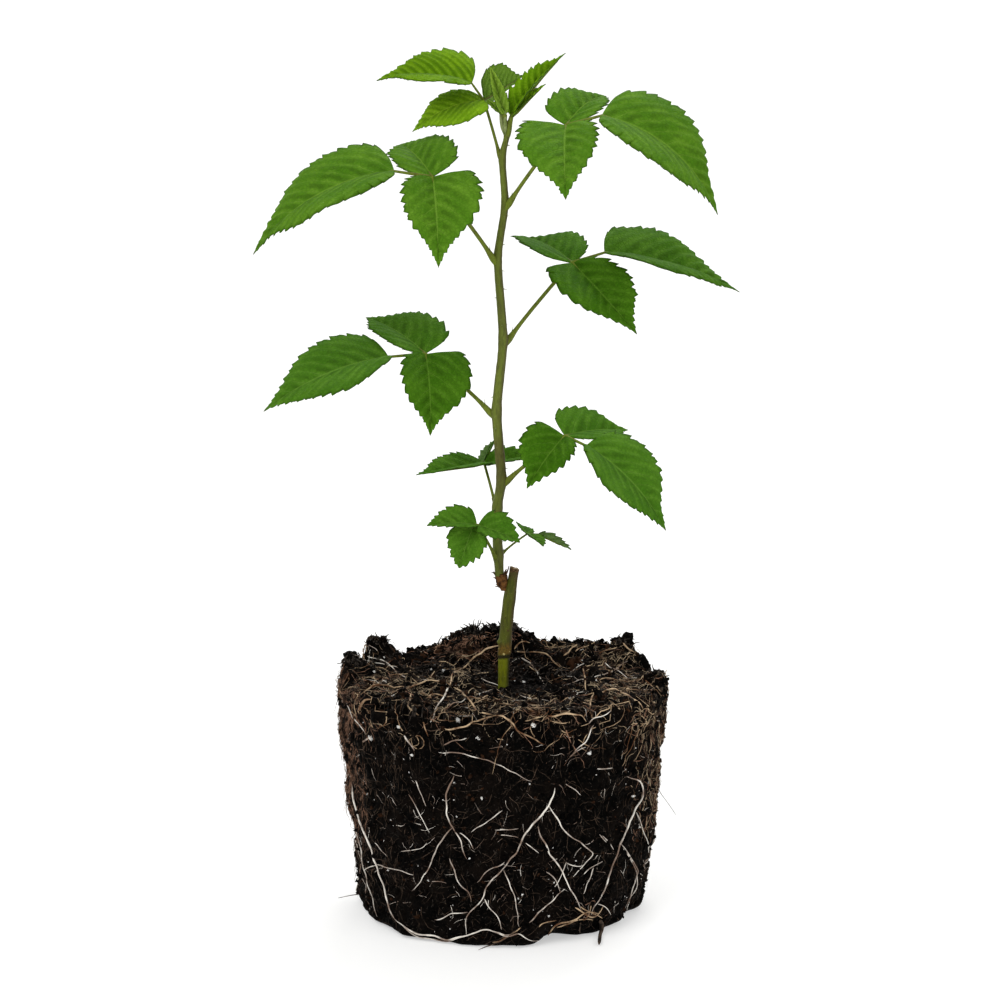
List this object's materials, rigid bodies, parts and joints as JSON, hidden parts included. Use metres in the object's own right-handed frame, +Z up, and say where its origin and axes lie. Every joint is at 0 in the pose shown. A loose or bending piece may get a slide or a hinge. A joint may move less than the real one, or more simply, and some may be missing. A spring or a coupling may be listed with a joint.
{
  "type": "young black raspberry plant on its root ball",
  "caption": "Young black raspberry plant with toothed three-part leaves up one cane, standing on its tapered, bare root ball.",
  "frame": {"origin": "middle of the root ball's flat underside, where it stands", "axes": "+Z up along the cane, -Y towards the front of the plant, +X to its right as seen from the front"},
  "size_m": [0.1788, 0.1239, 0.3195],
  "materials": {
    "potting_mix": "rough moist peat mix with fibre",
    "old_bark": "satin olive bark",
    "new_bark": "satin green bark",
    "leaf": "soft matte leaf",
    "young_leaf": "soft matte young leaf"
  },
  "bodies": {
    "root": {"root_ball": "potting_mix", "old_cane": "old_bark", "new_cane": "new_bark", "leaf_upper_right": "leaf", "leaf_upper_left": "leaf", "leaf_mid_right": "leaf", "leaf_mid_left": "leaf", "leaf_lower_right": "leaf", "leaf_small_back": "leaf", "leaf_small_front": "leaf", "leaf_small_right": "leaf", "leaf_top_left": "young_leaf", "leaf_young": "young_leaf", "leaf_bud": "young_leaf"}
  },
  "joints": []
}
